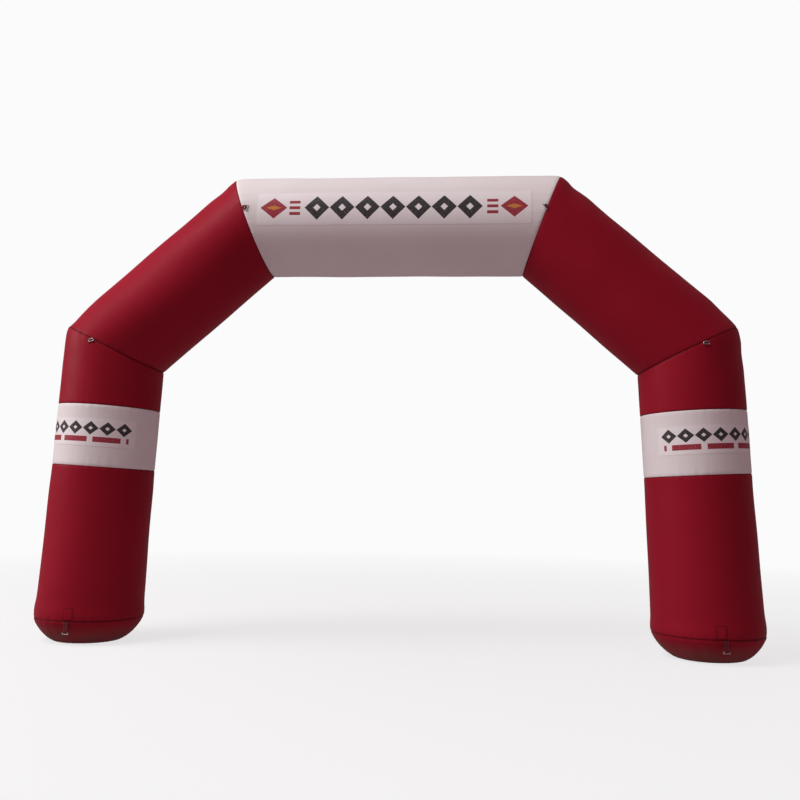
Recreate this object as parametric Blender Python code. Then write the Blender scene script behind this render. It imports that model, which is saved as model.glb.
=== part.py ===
"""Inflatable arch: an air tube of eleven cloth panels on two round feet, with patches, tabs and D-rings.

Metres, +Z up. The arch spans along X and its printed front faces -Y. The origin is on the ground,
midway between the feet. Each panel is an open-ended shell of cloth that ends at its seams.
"""

import math
from collections import namedtuple

import bmesh
import bpy
from mathutils import Matrix, Vector

# ---------------------------------------------------------------- driving dimensions
TUBE_RADIUS = 0.420        # outer radius of the beam, the arms and the upper legs
FOOT_X = 2.562             # tube axis where it meets the ground
SHOULDER = (2.434, 2.469)  # X and Z of the axis at the shoulder
CROWN = (1.230, 3.533)     # X and Z of the axis at the end of the beam
CLOTH = 0.002              # thickness of the coated cloth
SEAM_GAP = 0.0003          # clearance between two pieces that are sewn together
SIDES = 32                 # flats round the tube

BAND_BOTTOM = 1.445        # white band, measured along the leg
BAND_TOP = 1.950
FLARE_TOP = 1.360          # below this height the leg widens towards the ground
FLARE = 0.020              # extra radius at the ground
FOOT_SEAM = 0.195          # height of the seam between the lower leg and the foot cap
FOOT_DISC = 0.265          # radius of the flat patch that the arch stands on
FOOT_ARC_ROWS = 7          # rows of flats round the foot's rounded edge
FOOT_ROUNDING = 1.4        # superellipse power of that edge: 2 would be a true quarter ellipse
BULGE = 0.008              # the cloth swells this much just above the foot seam
BULGE_HEIGHT = 0.245
BULGE_SPREAD = 0.065

PATCH = 0.001              # thickness of the printed patches
PATCH_LIFT = 0.0004        # clearance between a patch and the cloth under it
BANNER_HALF = 1.125        # half the length of the patch on the beam
BANNER_ANGLES = (-13.0, 27.0)      # degrees round the tube from the front, upwards
LEG_PATCH_ANGLES = (-55.0, 85.0)   # degrees from the front, outwards
LEG_PATCH_ALONG = (1.606, 1.832)
FOOT_PATCH_HALF = 5.4      # degrees to each side of the front
FOOT_PATCH_ROWS = (0.008, 0.040, 0.110)  # distances above the foot seam

WIRE = 0.003               # radius of the D-ring's wire
WIRE_SIDES = 8
RING_HALF = 0.0245         # half the ring's bar, to the middle of the wire
RING_CORNER = 0.005
RING_SHOULDER = 0.013      # length of the ring's straight sides
RING_ARC_STEPS = 9
WEBBING = 0.0016           # thickness of the tab's webbing
TAB_HALF = 0.0190          # half the tab's width
TAB_LIFT = 0.0006          # clearance between a tab and the cloth
TAB_EYE = WIRE + 0.0005    # inner radius of the loop that holds the ring

FRONT = Vector((0.0, -1.0, 0.0))
UP = Vector((0.0, 0.0, 1.0))

# Rows of a panel near a seam: how far from the seam, and how far its outer line is drawn in there.
Row = namedtuple("Row", "from_seam drawn_in")

CROWN_CORNER = {"left": 0.012, "right": 0.008}
SHOULDER_CORNER = {"left": 0.027, "right": 0.030}

BEAM_ROWS = {
    side: (Row(0.0, corner), Row(0.035, 0.35 * corner), Row(0.090, 0.0))
    for side, corner in CROWN_CORNER.items()
}
ARM_CROWN_ROWS = {
    "left": (Row(0.0, CROWN_CORNER["left"]), Row(0.040, 0.008), Row(0.085, 0.006), Row(0.130, 0.015),
             Row(0.190, 0.015), Row(0.300, 0.006)),
    "right": (Row(0.0, CROWN_CORNER["right"]), Row(0.035, 0.002), Row(0.080, 0.004), Row(0.140, 0.020),
              Row(0.200, 0.013), Row(0.300, 0.002)),
}
ARM_SHOULDER_ROWS = {
    "left": (Row(0.0, SHOULDER_CORNER["left"]), Row(0.060, 0.026), Row(0.130, 0.015), Row(0.230, 0.005)),
    "right": (Row(0.0, SHOULDER_CORNER["right"]), Row(0.050, 0.019), Row(0.110, 0.014), Row(0.200, 0.011)),
}
LEG_SHOULDER_ROWS = {
    "left": (Row(0.0, SHOULDER_CORNER["left"]), Row(0.060, 0.006), Row(0.140, 0.003), Row(0.260, 0.002)),
    "right": (Row(0.0, SHOULDER_CORNER["right"]), Row(0.050, 0.019), Row(0.130, 0.009), Row(0.220, 0.012)),
}
PLAIN = (Row(0.0, 0.0),)
LEG_FOOT_ROWS = tuple(Row(distance, 0.0) for distance in (0.0, 0.040, 0.110, 0.180, 0.60))

# Each D-ring: its joint, angle from the front (degrees, outwards), the way its tab points (degrees
# below the inward direction), the tab's length and how far the ring swings off the cloth.
Fitting = namedtuple("Fitting", "joint side angle points_down tab swing")

FITTINGS = (
    Fitting("crown", "left", 8.0, 4.0, 0.036, 4.0),
    Fitting("crown", "right", 7.0, 32.0, 0.020, 28.0),
    Fitting("shoulder", "left", 7.0, 78.0, 0.016, 0.0),
    Fitting("shoulder", "right", 6.0, 90.0, 0.018, 0.0),
    Fitting("foot", "left", 1.0, 90.0, 0.086, 0.0),
    Fitting("foot", "right", 4.0, 90.0, 0.084, 0.0),
)

RED = (0.260, 0.006, 0.018)
WHITE = (0.640, 0.600, 0.590)
PATCH_WHITE = (0.700, 0.660, 0.650)
DARK_RED = (0.120, 0.004, 0.010)
STEEL = (0.560, 0.560, 0.570)


# ---------------------------------------------------------------- frames
def outward(side):
    """Unit vector along X from the middle of the arch towards one side."""
    return Vector((-1.0 if side == "left" else 1.0, 0.0, 0.0))


def on_side(side, x, z):
    """Point of the arch's middle plane on one side."""
    return outward(side) * x + UP * z


class Tube:
    """A straight stretch of the air tube, with angles measured from the front towards the outside."""

    def __init__(self, start, end, outside):
        self.start = start
        self.length = (end - start).length
        self.axis = (end - start).normalized()
        self.out = (outside - self.axis * outside.dot(self.axis)).normalized()

    def radial(self, angle):
        return FRONT * math.cos(angle) + self.out * math.sin(angle)

    def point(self, along, angle, radius):
        return self.start + self.axis * along + self.radial(angle) * radius

    def meets(self, seam, angle, radius):
        """Distance along the tube at which one of its lines crosses a seam's plane."""
        point, normal = seam
        return (point - self.point(0.0, angle, radius)).dot(normal) / self.axis.dot(normal)


def leg_tube(side):
    return Tube(on_side(side, FOOT_X, 0.0), on_side(side, *SHOULDER), outward(side))


def arm_tube(side):
    return Tube(on_side(side, *SHOULDER), on_side(side, *CROWN), outward(side) + UP)


def beam_tube():
    return Tube(on_side("left", *CROWN), on_side("right", *CROWN), UP)


def mitre(point, axis_a, axis_b):
    """Plane that halves the bend between two stretches of tube."""
    return point, (axis_a + axis_b).normalized()


def crown_seam(side):
    inward = -outward(side)
    return mitre(on_side(side, *CROWN), arm_tube(side).axis, inward)


def shoulder_seam(side):
    return mitre(on_side(side, *SHOULDER), leg_tube(side).axis, arm_tube(side).axis)


def across_leg(side, along):
    tube = leg_tube(side)
    return tube.start + tube.axis * along, tube.axis


# ---------------------------------------------------------------- meshes
def add_object(name, mesh, material):
    mesh.materials.clear()
    mesh.materials.append(material)
    obj = bpy.data.objects.new(name, mesh)
    bpy.context.scene.collection.objects.link(obj)
    return obj


def finish_mesh(name, bm):
    bmesh.ops.recalc_face_normals(bm, faces=bm.faces)
    mesh = bpy.data.meshes.new(name)
    bm.to_mesh(mesh)
    bm.free()
    mesh.shade_smooth()
    mesh.set_sharp_from_angle(angle=math.radians(40.0))
    return mesh


def skin(name, loops, closed=True):
    """Quads between neighbouring closed loops; the last loop joins the first when closed."""
    bm = bmesh.new()
    rows = [[bm.verts.new(point) for point in loop] for loop in loops]
    pairs = list(zip(rows, rows[1:]))
    if closed:
        pairs.append((rows[-1], rows[0]))
    for here, there in pairs:
        for i in range(len(here)):
            j = (i + 1) % len(here)
            bm.faces.new((here[i], here[j], there[j], there[i]))
    if not closed:
        bm.faces.new(rows[0])
        bm.faces.new(reversed(rows[-1]))
    return finish_mesh(name, bm)


def leg_radius(height):
    """Outer radius of the leg at a height: a slight flare, and a swelling above the foot seam."""
    flare = FLARE * max(0.0, 1.0 - height / FLARE_TOP)
    swelling = BULGE * math.exp(-((height - BULGE_HEIGHT) / BULGE_SPREAD) ** 2)
    return TUBE_RADIUS + flare + swelling


def straight_radius(_along):
    return TUBE_RADIUS


def panel_ring(tube, seams, row, from_end, angle, base_radius, inset):
    """One point of a panel: on a row near its first or last seam, on the outer or inner face."""
    drawn_in = row.drawn_in * max(0.0, math.sin(angle)) ** 2
    seam = seams[1] if from_end else seams[0]
    away = -1.0 if from_end else 1.0
    slope = abs(tube.axis.dot(seam[1]))
    along = tube.meets(seam, angle, TUBE_RADIUS) + away * row.from_seam
    radius = base_radius(along) - drawn_in - inset
    if row.from_seam == 0.0:
        along = tube.meets(seam, angle, radius) + away * 0.5 * SEAM_GAP / slope
    return tube.point(along, angle, radius)


def panel(name, tube, seams, rows, base_radius, material):
    """A cloth tube between two seams: outer face, then back along the inner face, for each flat."""
    start_rows, end_rows = rows
    order = [(row, False) for row in start_rows] + [(row, True) for row in reversed(end_rows)]
    loops = []
    for i in range(SIDES):
        angle = math.tau * i / SIDES
        outer = [panel_ring(tube, seams, row, end, angle, base_radius, 0.0) for row, end in order]
        inner = [panel_ring(tube, seams, row, end, angle, base_radius, CLOTH) for row, end in order]
        loops.append(outer + inner[::-1])
    return add_object(name, skin(name, loops), material)


def foot_cap(side, material):
    """The end of the tube: a cut disc of cloth that air swells into a round-edged foot, flat below."""
    tube = leg_tube(side)
    edge = leg_radius(FOOT_SEAM) - FOOT_DISC
    top = FOOT_SEAM - 0.5 * SEAM_GAP

    def ring(step, inset):
        turn = 0.5 * math.pi * step / FOOT_ARC_ROWS
        power = 2.0 / FOOT_ROUNDING
        height = inset + (top - inset) * (1.0 - max(0.0, math.cos(turn)) ** power)
        radius = FOOT_DISC + (edge - inset) * math.sin(turn) ** power
        centre = tube.start + tube.axis * (height / tube.axis.z)
        return [
            centre + FRONT * radius * math.cos(math.tau * i / SIDES)
            + outward(side) * radius * math.sin(math.tau * i / SIDES)
            for i in range(SIDES)
        ]

    steps = range(FOOT_ARC_ROWS + 1)
    loops = [ring(step, 0.0) for step in steps] + [ring(step, CLOTH) for step in reversed(steps)]
    name = f"foot_{side}"
    return add_object(name, skin(name, loops, closed=False), material)


def flat_radius(angle, radius):
    """Radius of the many-sided tube at any angle: less between its corners than at them."""
    step = math.tau / SIDES
    off_middle = angle % step - 0.5 * step
    return radius * math.cos(0.5 * step) / math.cos(off_middle)


def patch_angles(first, last):
    """Both ends of a patch, and every corner line of the tube between them."""
    step = math.tau / SIDES
    inner = [k * step for k in range(-SIDES, SIDES) if first < k * step < last]
    return [first, *inner, last]


def wrapped_patch(name, tube, degrees, stations, base_radius, material):
    """A thin sheet on the tube's flats, between two angles and through the given stations."""
    angles = patch_angles(math.radians(degrees[0]), math.radians(degrees[1]))
    loops = []
    for angle in angles:
        def at(along, lift, angle=angle):
            return tube.point(along, angle, flat_radius(angle, base_radius(along)) + lift)
        under = [at(along, PATCH_LIFT) for along in stations]
        over = [at(along, PATCH_LIFT + PATCH) for along in stations]
        loops.append(under + over[::-1])
    return add_object(name, skin(name, loops, closed=False), material)


# ---------------------------------------------------------------- cloth pieces
def make_beam(material):
    seams = (crown_seam("left"), crown_seam("right"))
    rows = (BEAM_ROWS["left"], BEAM_ROWS["right"])
    return panel("beam", beam_tube(), seams, rows, straight_radius, material)


def make_arm(side, material):
    seams = (shoulder_seam(side), crown_seam(side))
    rows = (ARM_SHOULDER_ROWS[side], ARM_CROWN_ROWS[side])
    return panel(f"arm_{side}", arm_tube(side), seams, rows, straight_radius, material)


def make_leg_upper(side, material):
    seams = (across_leg(side, BAND_TOP), shoulder_seam(side))
    rows = (PLAIN, LEG_SHOULDER_ROWS[side])
    return panel(f"leg_upper_{side}", leg_tube(side), seams, rows, straight_radius, material)


def make_band(side, material):
    seams = (across_leg(side, BAND_BOTTOM), across_leg(side, BAND_TOP))
    return panel(f"band_{side}", leg_tube(side), seams, (PLAIN, PLAIN), straight_radius, material)


def make_leg_lower(side, material):
    seams = ((UP * FOOT_SEAM, UP), across_leg(side, BAND_BOTTOM))
    rows = (LEG_FOOT_ROWS, PLAIN)
    return panel(f"leg_lower_{side}", leg_tube(side), seams, rows, leg_radius, material)


def make_leg_patch(side, material):
    name = f"leg_patch_{side}"
    return wrapped_patch(name, leg_tube(side), LEG_PATCH_ANGLES, LEG_PATCH_ALONG, straight_radius, material)


def make_banner_patch(material):
    middle = 0.5 * beam_tube().length
    stations = (middle - BANNER_HALF, middle + BANNER_HALF)
    return wrapped_patch("banner_patch", beam_tube(), BANNER_ANGLES, stations, straight_radius, material)


def make_foot_patch(side, material):
    """A small square that strengthens the cloth above the foot's ring."""
    tube = leg_tube(side)
    seam_along = tube.meets((UP * FOOT_SEAM, UP), 0.0, TUBE_RADIUS)
    stations = [seam_along + distance for distance in FOOT_PATCH_ROWS]
    name = f"foot_patch_{side}"
    degrees = (-FOOT_PATCH_HALF, FOOT_PATCH_HALF)
    return wrapped_patch(name, tube, degrees, stations, leg_radius, material)


# ---------------------------------------------------------------- tabs and rings
def ring_outline():
    """Middle line of the wire, bar first, in the ring's own plane."""
    half, corner = RING_HALF, RING_CORNER
    points = [Vector((corner - half, 0.0, 0.0)), Vector((half - corner, 0.0, 0.0))]
    points.append(Vector((half - 0.3 * corner, 0.3 * corner, 0.0)))
    points.append(Vector((half, corner, 0.0)))
    for k in range(RING_ARC_STEPS + 1):
        turn = math.pi * k / RING_ARC_STEPS
        points.append(Vector((half * math.cos(turn), RING_SHOULDER + half * math.sin(turn), 0.0)))
    points.append(Vector((-half, corner, 0.0)))
    points.append(Vector((0.3 * corner - half, 0.3 * corner, 0.0)))
    return points


def ring_mesh():
    """Round wire bent to a D: bar, short straight sides and half a circle."""
    outline = ring_outline()
    loops = []
    for before, here, after in zip(outline[-1:] + outline[:-1], outline, outline[1:] + outline[:1]):
        way_in = (here - before).normalized()
        way_out = (after - here).normalized()
        tangent = (way_in + way_out).normalized()
        stretch = 1.0 / tangent.dot(way_in)
        side_way = tangent.cross(UP)
        loops.append([
            here + side_way * (WIRE * stretch * math.cos(math.tau * k / WIRE_SIDES))
            + UP * (WIRE * math.sin(math.tau * k / WIRE_SIDES))
            for k in range(WIRE_SIDES)
        ])
    return skin("d_ring", loops)


def tab_mesh(name, length):
    """Webbing folded round the ring's bar, its two layers meeting towards the seam."""
    bar_height = WEBBING + TAB_EYE
    layer_gap = 0.5 * SEAM_GAP
    path = [(0.0, WEBBING, -90.0), (length, WEBBING, -90.0)]
    path += [(length, bar_height, turn) for turn in (-60.0, -30.0, 0.0, 30.0, 60.0, 90.0)]
    loops = []
    for x, z, turn in path:
        reach = TAB_EYE if z == bar_height else 0.0
        cos, sin = math.cos(math.radians(turn)), math.sin(math.radians(turn))
        inner = (x + reach * cos, z + reach * sin)
        outer = (x + (reach + WEBBING) * cos, z + (reach + WEBBING) * sin)
        loops.append((inner, outer))
    flat_end = 0.30 * length
    for x in (flat_end, 0.0):
        loops.append(((x, WEBBING + layer_gap), (x, 2.0 * WEBBING + layer_gap)))
    section = [
        [Vector((-TAB_HALF, inner[0], inner[1])), Vector((-TAB_HALF, outer[0], outer[1])),
         Vector((TAB_HALF, outer[0], outer[1])), Vector((TAB_HALF, inner[0], inner[1]))]
        for inner, outer in loops
    ]
    return skin(name, section, closed=False)


def seat(fitting):
    """Where a tab starts: the point on the seam, the way the tab points and the way off the cloth."""
    side, angle = fitting.side, math.radians(fitting.angle)
    if fitting.joint == "foot":
        tube, seam = leg_tube(side), (UP * FOOT_SEAM, UP)
        radius = leg_radius(FOOT_SEAM)
    elif fitting.joint == "shoulder":
        tube, seam, radius = leg_tube(side), shoulder_seam(side), TUBE_RADIUS
    else:
        # The beam's own axis runs left to right, so both crowns use it with "out" upwards.
        tube, seam, radius = beam_tube(), crown_seam(side), TUBE_RADIUS
    along = tube.meets(seam, angle, radius)
    off_cloth = tube.radial(angle)
    down = math.radians(fitting.points_down)
    way = -outward(side) * math.cos(down) - UP * math.sin(down)
    way = (way - off_cloth * way.dot(off_cloth)).normalized()
    return tube.point(along, angle, radius + TAB_LIFT), way, off_cloth


def placed(obj, origin, way, off_cloth):
    """Lay an object's own +Y along the cloth and its +Z off the cloth."""
    across = way.cross(off_cloth)
    obj.matrix_world = Matrix.Translation(origin) @ Matrix((across, way, off_cloth)).transposed().to_4x4()
    return obj


def make_fitting(fitting, ring, webbing, steel):
    """A tab at its seam and the D-ring in its loop, swung a little off the cloth."""
    label = f"{fitting.joint}_{fitting.side}"
    origin, way, off_cloth = seat(fitting)
    tab = add_object(f"tab_{label}", tab_mesh(f"tab_{label}", fitting.tab), webbing)
    placed(tab, origin, way, off_cloth)
    swing = math.radians(fitting.swing)
    ring_way = way * math.cos(swing) + off_cloth * math.sin(swing)
    ring_off = off_cloth * math.cos(swing) - way * math.sin(swing)
    bar = origin + way * fitting.tab + off_cloth * (WEBBING + TAB_EYE)
    placed(add_object(f"ring_{label}", ring, steel), bar, ring_way, ring_off)


# ---------------------------------------------------------------- the arch
def clear_scene():
    for obj in list(bpy.data.objects):
        bpy.data.objects.remove(obj, do_unlink=True)


def make_material(name, colour, roughness, metallic=0.0):
    material = bpy.data.materials.new(name)
    material.use_nodes = True
    shader = material.node_tree.nodes["Principled BSDF"]
    shader.inputs["Base Color"].default_value = (*colour, 1.0)
    shader.inputs["Roughness"].default_value = roughness
    shader.inputs["Metallic"].default_value = metallic
    return material


def main():
    clear_scene()
    red = make_material("red_cloth", RED, 0.42)
    white = make_material("white_cloth", WHITE, 0.45)
    patch = make_material("patch_cloth", PATCH_WHITE, 0.40)
    webbing = make_material("webbing", DARK_RED, 0.75)
    steel = make_material("plated_steel", STEEL, 0.30, metallic=1.0)

    make_beam(white)
    make_banner_patch(patch)
    for side in ("left", "right"):
        make_arm(side, red)
        make_leg_upper(side, red)
        make_band(side, white)
        make_leg_lower(side, red)
        foot_cap(side, red)
        make_leg_patch(side, patch)
        make_foot_patch(side, red)
    ring = ring_mesh()
    for fitting in FITTINGS:
        make_fitting(fitting, ring, webbing, steel)


main()
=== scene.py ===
# %% [markdown]
# # An inflatable arch
# The arch is one long tube of coated cloth that a fan keeps full of air. A maker cuts nine panels
# and two round foot caps, sews them end to end, sews printed sheets onto the white panels, and traps
# short tabs of webbing in the seams to hold steel rings. We load the engineering model first: it
# fixes every size and place. Then each piece of cloth is made again with the puckers, seams and
# stitching that only the eye needs.

# %% Load the frame
import math

import bpy
import numpy as np
from mathutils import Matrix, Vector


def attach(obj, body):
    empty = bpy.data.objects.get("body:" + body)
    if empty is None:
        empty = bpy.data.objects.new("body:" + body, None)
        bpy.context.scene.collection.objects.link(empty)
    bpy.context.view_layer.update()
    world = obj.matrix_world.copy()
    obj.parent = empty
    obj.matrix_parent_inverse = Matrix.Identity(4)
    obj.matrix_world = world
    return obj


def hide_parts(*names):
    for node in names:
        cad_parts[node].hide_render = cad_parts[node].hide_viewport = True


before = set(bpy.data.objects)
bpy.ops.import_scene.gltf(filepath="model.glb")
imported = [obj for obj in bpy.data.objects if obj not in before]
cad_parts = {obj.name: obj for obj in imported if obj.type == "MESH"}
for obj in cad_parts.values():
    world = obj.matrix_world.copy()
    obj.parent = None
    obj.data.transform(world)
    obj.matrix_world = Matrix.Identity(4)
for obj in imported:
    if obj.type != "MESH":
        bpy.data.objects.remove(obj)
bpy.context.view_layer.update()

# %% [markdown]
# ## Camera
# The arch is looked at from a little over a metre above the ground, from almost straight in front.
# Making the camera first means that every later step can be judged from the right place. The lens is
# given as a focal length, in widths of the 36 mm sensor.

# %% Camera
CAMERA_PLACE = Vector((0.6901, -7.7693, 1.2483))
CAMERA_YAW, CAMERA_PITCH, CAMERA_ROLL = -0.08223, 0.10169, 0.01683   # radians
SENSOR_WIDTH = 36.0                 # millimetres
LENS = 1.1625 * SENSOR_WIDTH


def aim_camera():
    """Columns of the camera's matrix: right, up and backward."""
    ahead = Vector((math.sin(CAMERA_YAW) * math.cos(CAMERA_PITCH),
                    math.cos(CAMERA_YAW) * math.cos(CAMERA_PITCH), math.sin(CAMERA_PITCH)))
    level = Vector((math.cos(CAMERA_YAW), -math.sin(CAMERA_YAW), 0.0))
    above = level.cross(ahead)
    right = level * math.cos(CAMERA_ROLL) + above * math.sin(CAMERA_ROLL)
    up = above * math.cos(CAMERA_ROLL) - level * math.sin(CAMERA_ROLL)
    return Matrix((right, up, -ahead)).transposed().to_4x4()


lens = bpy.data.cameras.new("camera")
lens.sensor_width = SENSOR_WIDTH
lens.lens = LENS
camera = bpy.data.objects.new("camera", lens)
camera.matrix_world = Matrix.Translation(CAMERA_PLACE) @ aim_camera()
bpy.context.scene.collection.objects.link(camera)
bpy.context.scene.camera = camera
print("lens", round(LENS, 2), "mm")

# %% [markdown]
# ## The tube's own measurements
# A tube bends at four places, and at each bend two panels meet on a flat plane that halves the
# angle. If a point of a panel is given by its distance along the tube and its angle round it, the
# same few numbers describe every panel. The sizes repeat those of the engineering model.

# %% Sizes of the arch
RADIUS = 0.420
FOOT_X = 2.562
SHOULDER = (2.434, 2.469)
CROWN = (1.230, 3.533)
BAND_BOTTOM, BAND_TOP = 1.445, 1.950
FLARE_TOP, FLARE = 1.360, 0.020
FOOT_SEAM, FOOT_DISC, FOOT_ROUNDING = 0.195, 0.265, 1.4
BULGE, BULGE_HEIGHT, BULGE_SPREAD = 0.008, 0.245, 0.065
FRONT, UP = Vector((0.0, -1.0, 0.0)), Vector((0.0, 0.0, 1.0))
SIDES = ("left", "right")


def outward(side):
    return Vector((-1.0 if side == "left" else 1.0, 0.0, 0.0))


def on_side(side, x, z):
    return outward(side) * x + UP * z


class Tube:
    """A straight stretch of the tube. Angles run from the front (0) towards the outside."""

    def __init__(self, start, end, outside):
        self.start, self.length = start, (end - start).length
        self.axis = (end - start).normalized()
        self.out = (outside - self.axis * outside.dot(self.axis)).normalized()

    def points(self, along, angle, radius):
        """Many points at once, as rows of x, y, z."""
        way = np.cos(angle)[..., None] * np.array(FRONT) + np.sin(angle)[..., None] * np.array(self.out)
        return np.array(self.start) + along[..., None] * np.array(self.axis) + radius[..., None] * way

    def meets(self, seam, angle, radius):
        """How far along the tube its lines cross a seam's plane."""
        place, normal = seam
        lines = self.points(np.zeros_like(radius), angle, radius)
        return (np.array(place) - lines) @ np.array(normal) / self.axis.dot(normal)


legs = {side: Tube(on_side(side, FOOT_X, 0.0), on_side(side, *SHOULDER), outward(side)) for side in SIDES}
arms = {side: Tube(on_side(side, *SHOULDER), on_side(side, *CROWN), outward(side) + UP) for side in SIDES}
beam = Tube(on_side("left", *CROWN), on_side("right", *CROWN), UP)


def halfway(place, axis_a, axis_b):
    return place, (axis_a + axis_b).normalized()


def across_leg(side, along):
    return legs[side].start + legs[side].axis * along, legs[side].axis


crown_seams = {side: halfway(on_side(side, *CROWN), arms[side].axis, -outward(side)) for side in SIDES}
shoulder_seams = {side: halfway(on_side(side, *SHOULDER), legs[side].axis, arms[side].axis) for side in SIDES}
foot_seam = (UP * FOOT_SEAM, UP)
for name, tube in (("leg", legs["left"]), ("arm", arms["left"]), ("beam", beam)):
    print(name, "axis", round(tube.length, 3), "m long")

# %% [markdown]
# ## How full cloth lies
# Air presses the cloth round, and a seam holds it in. So close to each seam there is a narrow
# groove, with small gathers that fade within a hand's breadth, and at a bend the outer side is drawn
# in where the cloth has to turn the corner. Between the seams the tube is never quite true: it has
# long, low swells. Each of these is one term of the radius. The gathers belong to the seam and not
# to the panel, so that both panels carry them across it.

# %% Swells and gathers
DRAWN_IN = {   # distance from the seam and how far the outer line is drawn in there, in metres
    ("crown", "left"): ((0.0, 0.012), (0.035, 0.004), (0.09, 0.0)),
    ("crown", "right"): ((0.0, 0.008), (0.035, 0.003), (0.09, 0.0)),
    ("arm_crown", "left"): (
        (0.0, 0.012), (0.04, 0.008), (0.085, 0.006), (0.13, 0.015), (0.19, 0.015), (0.30, 0.006)),
    ("arm_crown", "right"): (
        (0.0, 0.008), (0.035, 0.002), (0.08, 0.004), (0.14, 0.020), (0.20, 0.013), (0.30, 0.002)),
    ("arm_shoulder", "left"): ((0.0, 0.027), (0.06, 0.026), (0.13, 0.015), (0.23, 0.005), (0.34, 0.0)),
    ("arm_shoulder", "right"): ((0.0, 0.030), (0.05, 0.019), (0.11, 0.014), (0.20, 0.011), (0.32, 0.0)),
    ("leg_shoulder", "left"): ((0.0, 0.027), (0.06, 0.006), (0.14, 0.003), (0.26, 0.002), (0.36, 0.0)),
    ("leg_shoulder", "right"): ((0.0, 0.030), (0.05, 0.019), (0.13, 0.009), (0.22, 0.012), (0.36, 0.0)),
}
SEAM_DIP, SEAM_DIP_WIDTH = 0.0032, 0.011      # the groove along every seam
GATHER_REACH = 0.050                          # the gathers fade over this distance
GATHERS_AROUND = range(24, 46, 3)             # waves in a whole round, mixed into the gathers
EASING = (-0.020, -0.010, 0.0, 0.010, 0.020)  # the drawn-in line is averaged over these shifts
EASED_FROM = 0.03                             # nearer the seam than this, the shifts shrink away
SWELL_LINES, SWELL_LENGTHS, SWELLS_AROUND = 9, (0.45, 1.6), 6


def drawn_in(row, distance, angle):
    """How far the outer side is drawn in, smooth along the tube, and nothing on the inner side."""
    if row not in DRAWN_IN:
        return np.zeros_like(distance)
    far, depth = zip(*DRAWN_IN[row])
    shift = np.minimum(1.0, distance / EASED_FROM)
    eased = sum(np.interp(distance + shift * e, far, depth) for e in EASING) / len(EASING)
    return eased * np.maximum(0.0, np.sin(angle)) ** 2


def waves(seed, angle, around, size):
    """A smooth random line round the tube, made of whole waves so that its ends join."""
    rng = np.random.default_rng(seed)
    total = np.zeros_like(angle)
    for count in around:
        total += rng.uniform(0.4, 1.0) * np.sin(count * angle + rng.uniform(0.0, math.tau))
    return size * total / math.sqrt(len(around))


def swells(seed, along, angle, size):
    """Long, low swells over a whole stretch of tube."""
    rng = np.random.default_rng(seed)
    total = np.zeros_like(angle)
    for _ in range(SWELL_LINES):
        count, length = rng.integers(0, SWELLS_AROUND), rng.uniform(*SWELL_LENGTHS)
        total += np.sin(count * angle + math.tau * along / length + rng.uniform(0.0, math.tau))
    return size * total / math.sqrt(SWELL_LINES)


class Seam:
    """One seam: its plane, the seed of its gathers, how deep they are, and the corner's shape."""

    def __init__(self, plane, seed, depth=0.0011, corner=None):
        self.plane, self.seed, self.depth, self.corner = plane, seed, depth, corner

    def shape(self, distance, angle):
        gathers = waves(self.seed, angle, GATHERS_AROUND, self.depth) * np.exp(-distance / GATHER_REACH)
        groove = SEAM_DIP * np.exp(-(distance / SEAM_DIP_WIDTH) ** 2)
        return gathers - groove - drawn_in(self.corner, distance, angle)


print("a gather is about", round(1000 * math.tau * RADIUS / np.mean(GATHERS_AROUND)), "mm wide")

# %% [markdown]
# ## A cloth panel as a mesh
# A panel is a grid: rows along the tube, crowded near the seams where the shape changes fast, and
# columns round it. The last rows turn inwards at the seam, as the sewn allowance does on the real
# thing, so nobody can look into the gap. The grid gets two sets of coordinates, both in metres: one
# runs over the cloth for the weave, and one holds the distance to each seam for the stitching. A
# Solidify modifier then gives the sheet its thickness.

# %% Panel builder
COLUMNS = 192
SHEET = 0.0015
NEAR_SEAM = (0.0, 0.0012, 0.0035, 0.007, 0.012, 0.019, 0.028, 0.040, 0.056)
ALLOWANCE = (0.022, 0.006)    # how deep the turned-in rows reach below the cloth
ROW_STEP = 0.026
LIP, LIP_WIDTH = 0.0013, 0.0012    # each edge rolls over into the seam
BACK_DIP = 0.0022             # the long seam that closes each panel runs down the back
CALM = 0.10                   # the long swells fade out this near a seam
AT_SEAM, SEAM_CLEARANCE = 1e-6, 0.0002    # a row this close is at the seam, and stops short of it
CROWDED = 2.4                 # on shorter lines than this many crowded zones, the rows are squeezed


def deselect():
    if bpy.context.object and bpy.context.object.mode != "OBJECT":
        bpy.ops.object.mode_set(mode="OBJECT")
    bpy.ops.object.select_all(action="DESELECT")


def choose(piece):
    deselect()
    piece.select_set(True)
    bpy.context.view_layer.objects.active = piece


def grid_mesh(name, points, cloth, seam_distances, closed=True):
    """A mesh from arrays of rows x columns x values; closed joins the last column to the first."""
    rows, columns = points.shape[:2]
    mesh = bpy.data.meshes.new(name)
    faces, corners = [], []
    last = columns if closed else columns - 1
    for r in range(rows - 1):
        for c in range(last):
            d = (c + 1) % columns
            faces.append((r * columns + c, r * columns + d, (r + 1) * columns + d, (r + 1) * columns + c))
            corners += [(r, c, 0), (r, c + 1, 1), (r + 1, c + 1, 1), (r + 1, c, 0)]
    mesh.from_pydata(points.reshape(-1, 3).tolist(), [], faces)
    corners = np.array(corners)
    for layer, values in (("cloth", cloth), ("seams", seam_distances)):
        uv = mesh.uv_layers.new(name=layer)
        picked = values[corners[:, 0], corners[:, 1] % values.shape[1]]
        uv.data.foreach_set("uv", picked.astype(np.float32).ravel())
    piece = bpy.data.objects.new(name, mesh)
    bpy.context.scene.collection.objects.link(piece)
    return piece


def shut(rows):
    """Repeat the first column after the last one, so that coordinates reach all the way round."""
    rows = np.array(rows)
    return np.concatenate([rows, rows[:, :1]], axis=1)


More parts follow.
